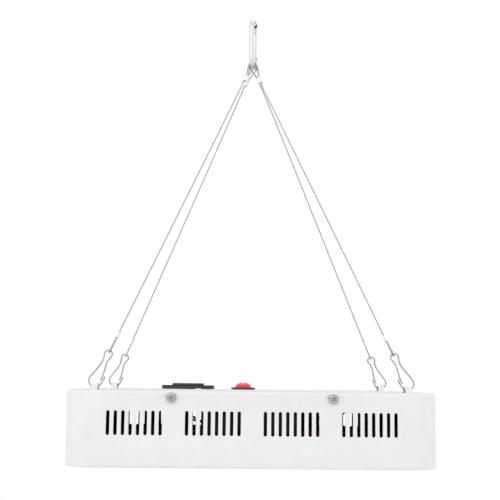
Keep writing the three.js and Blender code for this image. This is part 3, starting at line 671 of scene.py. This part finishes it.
def switch():
    b = Build()
    place = lambda p: Vector((SWITCH_X, REAR_Y, FITTING_Z)) + p
    rim = [(-0.3, 0), (0, 0.25), (0, 0.95), (-0.2, 1.35), (-0.7, 1.62), (-1.5, 1.82), (-2.4, 1.9)]
    mouth = [(0.35, 1.85), (0.1, 1.65), (0, 1.3), (0, CUP_FLOOR)]
    profile = [(0, BARREL_FLOOR), (BARREL_R, BARREL_FLOOR), (BARREL_R, 0)]
    profile += [(FLANGE_R + r, z) for r, z in rim] + [(CUP_R + r, z) for r, z in mouth] + [(0, CUP_FLOOR)]
    b.lathe(profile, 64, place)
    b.done("switch_bezel", [BLACK], replaces=["switch_body"], angle=38)

    pivot = Vector((SWITCH_X, REAR_Y, TOP - 0.2))
    tilt = Matrix.Rotation(math.radians(ROCKER_TILT), 4, "X")

    def put(x, y, z):
        return pivot + tilt @ Vector((x, y, z))

    def crown(y):
        return 4.75 + 1.75 * (abs(y) / 6.2) ** 1.35

    # the rim is where the crown meets the ball that the rocker is cut from
    ball, seg, rings = ROCKER_R, 72, 14
    b = Build()
    rows = []
    rim = []
    for k in range(seg):
        a = 2 * math.pi * k / seg
        z = 6.0
        for _ in range(30):
            r = math.sqrt(max(ball * ball - z * z, 0.01))
            z = 0.5 * z + 0.5 * min(crown(r * math.sin(a)), 7.2)
        rim.append((math.sqrt(ball * ball - z * z), a))
    for i in range(rings + 1):
        drop = 0.22 * max((i / rings - 0.88) / 0.12, 0) ** 2
        row = []
        for r, a in rim:
            x, y = polar(r * i / rings, a)
            row.append(put(x, y, crown(y) - drop))
        rows.append(row)
    sides, skirt = 12, -3.2
    for j in range(1, sides + 1):
        row = []
        for r, a in rim:
            top = math.sqrt(ball * ball - r * r) - 0.25
            z = top + (skirt - top) * j / sides
            row.append(put(*polar(math.sqrt(ball * ball - z * z), a), z))
        rows.append(row)
    b.face(b.loft(rows)[-1])
    b.done("rocker_cap", [RED], body="rocker", replaces=["switch_rocker"], angle=50)

    # a bar and a ring, standing just proud of the crown
    b = Build()
    low, high = -0.1, 0.05
    bar = ((-0.24, low), (-0.24, high), (0.24, high), (0.24, low))
    b.shut(b.loft([[put(x, y, crown(y) + z) for x, z in bar] for y in np.linspace(-4.6, -2.4, 7)]))
    rows = []
    for k in range(33):
        ring = []
        for r, z in ((0.85, low), (0.85, high), (1.25, high), (1.25, low)):
            x, y = polar(r, 2 * math.pi * k / 32)
            y += 3.6
            ring.append(put(x, y, crown(y) + z))
        rows.append(ring)
    b.loft(rows)
    b.done("rocker_marks", [MARK], body="rocker", angle=50)


# ---- snap hook -----------------------------------------------------------------------------
HOOK_ROT = Matrix.Rotation(HOOK_TURN, 4, "Z")


def hook_point(s, v, z):
    return HOOK_ROT @ Vector((s, v, z))


def hook():
    low_c, top_c = HOOK_LOW_Z + HOOK_LOW_R, WIRE_R - HOOK_TOP_R

    def bend(r, centre, degrees):
        return [(r * math.cos(a), centre + r * math.sin(a)) for a in map(math.radians, degrees)]

    line = bend(HOOK_LOW_R, low_c, range(0, -181, -15))
    line += [(-7.5, -30), (-8.1, -22), (-8.7, -14)]
    line += bend(HOOK_TOP_R, top_c, range(180, 9, -14))
    path = smooth_path([hook_point(s, 0, z) for s, z in line], 0.6)
    b = Build()

    def girth(t, _):
        """The wire, with its two ends a little rounded."""
        soft = min(t, 1 - t) * 260
        return WIRE_R * (1 - 0.16 * max(0, 1 - soft) ** 2)

    b.tube(path, girth, 28)
    # the flat tongue that the gate is riveted to, with a round end
    half, low, high = 1.75, -3.6, 3.0
    tongue = [(-half, low), (half, low), (half, high)] + circle(0, high, half, 13, 0, 180) + [(-half, high)]
    plate(b, tongue, 1.6, lambda u, v, w: hook_point(GATE_S - 0.3 + u, w, GATE_PIN_Z + v), 0.18)
    nose = [(-1.5, -2.6), (1.2, -2.6), (1.6, -1.6), (1.6, 2.6), (-1.5, 2.6)]
    plate(b, soften(nose, 0.35), 1.6,
          lambda u, v, w: hook_point(HOOK_TOP_R - 0.4 + u, w, top_c - 1.3 + v), 0.15)
    b.done("hook_body", [STEEL], body="hook", replaces=["carabiner_body"], angle=40)

    b = Build()
    rivet_axis = lambda p: hook_point(GATE_S + p.x, p.z, GATE_PIN_Z + p.y)
    head = [(0.85, 2.1), (1.4, 2.15), (1.25, 2.45), (0.7, 2.7), (0, 2.75)]
    b.lathe([(r, -z) for r, z in head[::-1]] + head, 28, rivet_axis)
    b.done("hook_rivet", [STEEL], body="hook", replaces=["carabiner_rivet"], angle=40)

    b = Build()
    top = top_c - 0.35
    bottom = GATE_PIN_Z - 1.8
    foot, head = Vector((GATE_S - 0.05, 0, bottom)), Vector((HOOK_TOP_R - 0.55, 0, top))
    length = (head - foot).length
    path = [HOOK_ROT @ foot.lerp(head, k / 60) for k in range(61)]

    def gate_girth(t, a):
        """Rounded ends, and the pressed V that runs down the flank below the latch."""
        z = t * length
        r = GATE_R
        r -= 0.35 * max(0, 1 - z / 0.8) ** 2 + 0.4 * max(0, 1 - (length - z) / 0.9) ** 2
        v_low, v_high = 8.0, 19.5
        share = max(0.0, min(1.0, (z - v_low) / 11.0)) if z < v_high else max(0, 1 - (z - v_high) / 1.2)
        width = 0.62 * share
        for centre in (math.pi / 2, 3 * math.pi / 2):
            off = abs((a - centre + math.pi) % (2 * math.pi) - math.pi)
            if width > 0.02 and off < width:
                r -= 0.5 * (1 - (off / width) ** 2)
        return r

    b.tube(path, gate_girth, 40)
    b.done("hook_gate", [STEEL], body="gate", replaces=["carabiner_gate"], angle=40)

    # painted shade: a near-black shell on the hook's nose stands in for the shadow in the gap that the gate's
    # fork leaves there
    b = Build()
    rows = []
    turns = np.radians(np.linspace(110, 300, 17))
    for a in np.radians(np.linspace(47, 68, 8)):
        centre = Vector((HOOK_TOP_R * math.cos(a), 0, top_c + HOOK_TOP_R * math.sin(a)))
        outward = Vector((math.cos(a), 0, math.sin(a)))
        arc = [outward * math.cos(t) + Vector((0, math.sin(t), 0)) for t in turns]
        shell = [centre + q * (WIRE_R + 0.05) for q in arc] + [centre + q * (WIRE_R - 0.4) for q in arc[::-1]]
        rows.append([HOOK_ROT @ q for q in shell])
    b.shut(b.loft(rows))
    b.done("hook_notch_shade", [INSIDE_SHADE], body="hook", angle=40)


# ---- cables, ferrules, clips ---------------------------------------------------------------
HOOK_DIR = Vector((math.cos(HOOK_TURN), math.sin(HOOK_TURN), 0))


class Corner:
    """One cable: its ends, and the directions along and across it."""

    def __init__(self, x, y, slot):
        s = slot * 2.5
        rise = HOOK_LOW_R - math.sqrt(HOOK_LOW_R ** 2 - s ** 2)
        self.apex = HOOK_DIR * s + Vector((0, 0, HOOK_LOW_Z + rise))
        self.bow = Vector((x * LUG_X, y * LUG_Y, BOW_Z))
        self.down = (self.bow - self.apex).normalized()
        self.up = -self.down
        self.across = HOOK_DIR.cross(self.down).normalized()
        out = Vector((x, 0, 0))
        self.out = (out - self.down * out.dot(self.down)).normalized()
        self.normal = self.down.cross(self.out).normalized()
        self.eye = self.bow + self.up * (EYE_A + EYE_R)


def on(origin, i, j, a, b):
    return origin + i * a + j * b


def turn_points(centre, along, side, r, reach, count):
    """The loop beyond a ferrule, as far round as its two strands leave it open."""
    spread = math.degrees(math.atan2(r - STRAND_OFF, reach))
    start = -(90 - spread)
    total = -360 + 2 * (90 - spread)
    turns = [math.radians(start + total * k / count) for k in range(count + 1)]
    return [on(centre, along, side, *polar(r, a)) for a in turns]


def cable_path(c):
    """Out of the top ferrule's short end, round the hook, down, round the clip's eye and back."""
    top_end, low_end = TOP_FERRULE + FERRULE_L + 1.4, LOW_FERRULE + FERRULE_L + 1.4

    def top(a, b):
        return on(c.apex, c.down, c.across, a, b)

    def low(a, b):
        return on(c.eye, c.up, c.normal, a, b)

    pts = [top(a, -STRAND_OFF) for a in (top_end, TOP_FERRULE + 3, TOP_FERRULE + 0.3)]
    pts += turn_points(c.apex, c.down, c.across, TOP_LOOP_R, TOP_FERRULE, 12)
    pts += [top(a, STRAND_OFF) for a in (TOP_FERRULE + 0.3, TOP_FERRULE + 3, top_end)]
    pts += [top(top_end + 8, 0.45), low(low_end + 12, -0.45)]
    pts += [low(a, -STRAND_OFF) for a in (low_end + 2, LOW_FERRULE + 3, LOW_FERRULE + 0.3)]
    pts += turn_points(c.eye, c.up, c.normal, LOW_LOOP_R, LOW_FERRULE, 9)
    pts += [low(a, STRAND_OFF) for a in (LOW_FERRULE + 0.3, LOW_FERRULE + 3, low_end)]
    return smooth_path(pts, ROPE_STEP)


def cables():
    for tag, spec in CORNERS.items():
        c = Corner(*spec)
        path = cable_path(c)
        b = Build()
        b.tube(path, CORE_R, 6)
        frames = carried(path, Vector((0, 1, 0)))
        for strand in range(STRANDS):
            line = []
            for i, (p, u, v) in enumerate(frames):
                a = 2 * math.pi * (strand / STRANDS + i * ROPE_STEP / LAY)
                line.append(p + (u * math.cos(a) + v * math.sin(a)) * LAY_R)
            b.tube(line, STRAND_R, 6)
        b.done("cable_" + tag + "_rope", [ROPE], replaces=["cable_" + tag], angle=80,
               weld=1e-5)
        ferrule("top_" + tag, c.apex, c.down, c.across, TOP_FERRULE)
        ferrule("low_" + tag, c.eye, c.up, c.normal, LOW_FERRULE)


def ferrule(tag, origin, along, side, start):
    """A sleeve round two strands, pressed in twice: (place along it, thickness) stations."""
    b = Build()
    third = along.cross(side).normalized()
    stations = [(0, 0.8), (0.12, 0.93), (0.4, 1.0), (1.2, 1.0), (1.7, 0.86), (2.3, 0.82), (2.7, 0.9),
                (3.1, 0.82), (3.7, 0.86), (4.2, 1.0), (5.0, 1.0), (5.28, 0.93), (FERRULE_L, 0.8)]
    loops = []
    for z, k in stations:
        ring = []
        for q in range(32):
            x, y = polar(FERRULE_R, 2 * math.pi * (q + 0.5) / 32)
            wide = (math.copysign(STRAND_OFF, x) + x) * (1.0 + (1 - k) * 0.35)
            ring.append(origin + along * (start + z) + side * wide + third * (y * k))
        loops.append(ring)
    b.shut(b.loft(loops))
    b.done(f"ferrule_{tag}_sleeve", [CRIMP], replaces=[f"ferrule_{tag}"], angle=45)


def clip_wire(b, points, step):
    """The clip's wire through the points, with softened ends."""
    path = smooth_path(points, step)
    n = len(path) - 1
    b.tube(path, [CLIP_R * (1 - 0.35 * max(0, 1 - min(i, n - i) / 1.6) ** 2) for i in range(n + 1)], 14)


def clips():
    lean = math.degrees(math.atan2(BOW_R - NECK_B, NECK_A))
    for tag, spec in CORNERS.items():
        c = Corner(*spec)

        def ring(a0, r, start, stop, n, c=c):
            turns = [math.radians(start + (stop - start) * k / n) for k in range(n + 1)]
            return [on(c.bow, c.up, c.out, a0 + r * math.cos(t), r * math.sin(t)) for t in turns]

        b = Build()
        pts = [on(c.bow, c.up, c.out, NECK_A + 0.3, -NECK_B)]
        pts += ring(EYE_A, EYE_R, 180 + EYE_OPEN, 540 - EYE_OPEN, 14)
        pts.append(on(c.bow, c.up, c.out, NECK_A, NECK_B))
        pts += ring(0, BOW_R, 90 - lean, 270, 12)
        pts += [on(c.bow, c.up, c.out, a, q) for a, q in ((2.6, -5.9), (4.8, -5.95), (6.2, -5.5))]
        clip_wire(b, pts, 0.4)
        b.done("clip_" + tag + "_wire", [WIRE], replaces=["clip_" + tag], angle=50)
        b = Build()
        line = ((NECK_A + 0.05, -NECK_B - 0.02), (12, -2.95), (6.5, -3.85), (4, -4), (1.6, -3.8))
        clip_wire(b, [on(c.bow, c.up, c.out, a, q) for a, q in line], 0.35)
        b.done("clip_arm_" + tag + "_wire", [WIRE], body="arm_" + tag,
               replaces=["clip_arm_" + tag], angle=50)


# ---- inside: rotors, board, lenses, drivers, wiring ----------------------------------------
def rotors():
    low = FAN_TOP - FAN_T + 2.6
    hub = [(0, 10.4), (6, 10.4), (6.3, 10.1), (12.2, 10.1), (13.6, 9.6), (14.4, 8.6), (14.5, 0), (2.5, 0),
           (2.5, 5), (0, 5)]

    def rim(ids):
        """The outline of a grid of points, once round."""
        first, last = [r[0] for r in ids[-2:0:-1]], [r[-1] for r in ids[1:]]
        return ids[0] + last + ids[-1][-2::-1] + first

    for tag, s, body in (("l", -1, "rotor_left"), ("r", 1, "rotor_right")):
        b = Build()
        centre = Vector((s * FAN_X, 0, 0))
        b.lathe([(r, low + z) for r, z in hub], 48, lambda p, q=centre: p + q)
        for k in range(BLADES):
            top, under = [], []
            for i in range(9):
                r = BLADE_ROOT + BLADE_SPAN * i / 8
                row_t, row_u = [], []
                for j in range(9):
                    t = j / 8
                    x, y = polar(r, 2 * math.pi * k / BLADES + math.radians(-6 + 40 * t + 9 * i / 8))
                    z = low + 1.0 + 8.4 * (1 - t) ** 0.85 * (1 - 0.12 * i / 8)
                    thick = 0.9 * (0.25 + math.sin(math.pi * min(max(t, 0.05), 0.95)))
                    row_t.append(centre + Vector((x, y, z + thick / 2)))
                    row_u.append(centre + Vector((x, y, z - thick / 2)))
                top.append(row_t)
                under.append(row_u)
            b.wall(rim(b.loft(top, False)), rim(b.loft(under, False)))
        b.done("rotor_" + tag + "_blades", [DARK], body=body,
               replaces=["fan_rotor_" + tag], angle=40)


def light_engine():
    lens_z = BASE + LENS_RISE
    board_z = lens_z + LENS_T + BOARD_GAP
    outline = rounded(302, 202, 20, 10)
    spots = [((i - (LED_COLS - 1) / 2) * LED_DX, (j - (LED_ROWS - 1) / 2) * LED_DY)
             for i in range(LED_COLS) for j in range(LED_ROWS)]

    def slab(b, holes, z, thick):
        b.cap(outline, holes, lambda u, v: (u, v, z), False)
        b.cap(outline, [], lambda u, v: (u, v, z + thick), True)
        b.loft([[(x, y, h) for x, y in outline] for h in (z, z + thick)])

    b = Build()
    slab(b, [circle(x, y, LENS_R, 32) for x, y in spots], lens_z, LENS_T)
    dome = [(LENS_R, 0), (6.75, -0.75), (6.2, -1.25), (5.2, -1.68), (3.9, -1.93), (2.2, -2.05), (0, -2.08)]
    for x, y in spots:
        b.lathe(dome, 32, lambda p, q=Vector((x, y, lens_z)): p + q)
    b.done("lens_sheet", [LENS], replaces=["lens_plate"], angle=40)

    b = Build()
    slab(b, [], board_z, BOARD_T)
    b.done("board_sheet", [BOARD], replaces=["led_board"], angle=40)
    b = Build()
    dot = [(1.35, board_z - 0.16), (1.2, board_z - 0.21), (0.6, board_z - 0.24), (0, board_z - 0.25)]
    for x, y in spots:
        pad = rounded(3.4, 3.4, 0.4, 3, x, y)
        steps = ((grow(pad, -0.35), 0.17), (pad, 0.16), (pad, 0))
        b.loft([[(u, v, board_z - deep) for u, v in edge] for edge, deep in steps])
        b.lathe(dot, 20, lambda p, q=Vector((x, y, 0)): p + q, 1)
    b.done("led_chips", [BOARD, PHOSPHOR], angle=40)


def wiring():
    """Leads and probes: name, material, radius, and points (x, y, depth under the cover)."""
    lead, probe = 0.95, 1.7
    routes = (
        ("wire_fan_l_grey", POTTING, lead, [(-41, 28, 32), (-47, 38, 29), (-56, 44, 24), (-64, 41.5, 15)]),
        ("wire_fan_l_black", POTTING, lead,
         [(-40, -51, 28), (-50, -56, 25), (-62, -50, 20), (-66, -41.5, 15)]),
        ("wire_fan_r_red", RED_WIRE, lead,
         [(43, -40, 23), (50, -60, 20), (60, -66, 23), (72, -58, 23), (84, -46, 17)]),
        ("wire_fan_r_black", POTTING, lead,
         [(43, -44, 26), (56, -68, 22), (72, -72, 27), (92, -60, 31), (104, -46, 17)]),
        ("wire_board_red", RED_WIRE, lead, [(43, -70, 32), (50, -84, 34), (62, -88, 42), (70, -80, 50)]),
        ("wire_probe_a", POTTING, probe, [(-92, 40, 14), (-91.3, 40, 24), (-91, 42, 39)]),
        ("wire_probe_b", POTTING, probe, [(-85.4, 40, 14), (-85.2, 40, 24), (-84.8, 42, 39)]),
        ("wire_inlet_black", POTTING, lead, [(-57, 50, 21), (-54, 44, 28), (-48, 38, 30), (-42, 36, 30)]),
    )
    for name, mat, radius, pts in routes:
        b = Build()
        b.tube(smooth_path([(x, y, TOP - deep) for x, y, deep in pts], 1.2), radius, 12)
        b.done(name, [mat], angle=60)


def carried_over():
    """Gives the CAD pieces that stay visible their materials."""
    looks = {"heat_sink_": ALU, "fan_frame_": DARK, "led_driver_": POTTING}
    for name, obj in frame["nodes"].items():
        for start, mat in looks.items():
            if name.startswith(start):
                obj.data.materials.clear()
                obj.data.materials.append(mat)


# ---- floor, light, camera ------------------------------------------------------------------
def stage():
    half, z = 1.0, (BASE - 200) * MM
    mesh = bpy.data.meshes.new("floor")
    corners = [(-half, -half, z), (half, -half, z), (half, half, z), (-half, half, z)]
    mesh.from_pydata(corners, [], [(0, 1, 2, 3)])
    mesh.materials.append(material("pale floor", grey(0.86), grey(0.9), (0.7, 0.85), grain=40.0, bump=0.05))
    floor = bpy.data.objects.new("floor", mesh)
    bpy.context.scene.collection.objects.link(floor)


def world():
    """White to the camera; for the light a soft tent with darker bands that give metal its edges."""
    w = bpy.data.worlds.new("studio")
    bpy.context.scene.world = w
    w.use_nodes = True

    def add(kind, links=(), fixed=(), **values):
        return new_node(w.node_tree, kind, links, fixed, **values)

    def tones(source, stops):
        """A grey ramp along one part, from -1 to 1, of the direction looked in."""
        share = add("ShaderNodeMath", [(source, 0)], [(1, 0.5), (2, 0.5)], operation="MULTIPLY_ADD")
        ramp = add("ShaderNodeValToRGB", [(share.outputs[0], "Fac")])
        elements = ramp.color_ramp.elements
        while len(elements) < len(stops):
            elements.new(0.5)
        for element, (pos, val) in zip(elements, stops):
            element.position = pos
            element.color = grey(val)
        return ramp.outputs["Color"]

    coord = add("ShaderNodeTexCoord")
    split = add("ShaderNodeSeparateXYZ", [(coord.outputs["Generated"], 0)])
    across = tones(split.outputs["X"], ((0.0, 0.9), (0.24, 0.95), (0.27, 0.12), (0.30, 0.9), (0.5, 0.95),
                                        (0.80, 1.0), (0.85, 0.15), (0.90, 0.95)))
    upward = tones(split.outputs["Z"], ((0.0, 0.62), (0.4, 1.0), (0.62, 1.0), (1.0, 1.0)))
    both = add("ShaderNodeVectorMath", [(across, 0), (upward, 1)], operation="MULTIPLY")
    # the backdrop behind the object is darker, but only above the height of its level top
    beyond = add("ShaderNodeMapRange", [(split.outputs["Y"], "Value")], **{"From Min": 0.72, "From Max": 0.9})
    raised = add("ShaderNodeMapRange", [(split.outputs["Z"], "Value")],
                 **{"From Min": 0.04, "From Max": 0.1, "To Max": -0.8})
    shade = add("ShaderNodeMath", [(beyond.outputs["Result"], 0), (raised.outputs["Result"], 1)], [(2, 1.0)],
                operation="MULTIPLY_ADD")
    dim = add("ShaderNodeVectorMath", [(both.outputs[0], 0), (shade.outputs[0], "Scale")], operation="SCALE")
    tent = w.node_tree.nodes["Background"]
    tent.inputs["Strength"].default_value = TENT
    w.node_tree.links.new(dim.outputs[0], tent.inputs["Color"])
    plain = add("ShaderNodeBackground", Color=grey(1.0), Strength=1.0)
    path = add("ShaderNodeLightPath")
    mix = add("ShaderNodeMixShader",
              [(path.outputs["Is Camera Ray"], 0), (tent.outputs[0], 1), (plain.outputs[0], 2)])
    w.node_tree.links.new(mix.outputs[0], w.node_tree.nodes["World Output"].inputs["Surface"])


def area_light(name, spot, aim, size, power):
    data = bpy.data.lights.new(name, "AREA")
    data.shape = "RECTANGLE"
    data.size, data.size_y = size
    data.energy = power
    lamp = bpy.data.objects.new(name, data)
    bpy.context.scene.collection.objects.link(lamp)
    lamp.location = spot
    lamp.rotation_euler = (Vector(aim) - Vector(spot)).to_track_quat("-Z", "Y").to_euler()
    lamp.visible_camera = False


TENT = 1.17  # strength of the light tent
FOCAL_MM, SENSOR_MM = 73.44, 36.0
EYE = Vector((-22.0, -950.2, TOP + 8.78)) * MM
YAW, PITCH, ROLL = -0.02194, 0.12752, 0.01119


def camera():
    """Looks along +Y, then turned by yaw, pitch and roll."""
    data = bpy.data.cameras.new("camera")
    data.lens, data.sensor_width = FOCAL_MM, SENSOR_MM
    data.clip_start, data.clip_end = 0.01, 100
    cam = bpy.data.objects.new("camera", data)
    bpy.context.scene.collection.objects.link(cam)
    ahead = Vector((-math.sin(YAW) * math.cos(PITCH), math.cos(YAW) * math.cos(PITCH), math.sin(PITCH)))
    right = Vector((math.cos(YAW), math.sin(YAW), 0))
    up = right.cross(ahead)
    across = right * math.cos(ROLL) + up * math.sin(ROLL)
    above = up * math.cos(ROLL) - right * math.sin(ROLL)
    turn = Matrix((across, above, -ahead)).transposed().to_4x4()
    cam.matrix_world = Matrix.Translation(EYE) @ turn
    bpy.context.scene.camera = cam


housing()
cover()
side_screws()
cover_screws()
inlet()
switch()
hook()
cables()
clips()
rotors()
light_engine()
wiring()
carried_over()
stage()
world()
area_light("key", (-0.9, -1.5, 0.7), (0, 0, -0.3), (1.6, 1.2), 3.0)
area_light("rim", (1.2, 0.8, 0.5), (0, 0, -0.25), (1.0, 1.0), 2.0)
camera()
bpy.context.scene.view_settings.view_transform = "Standard"
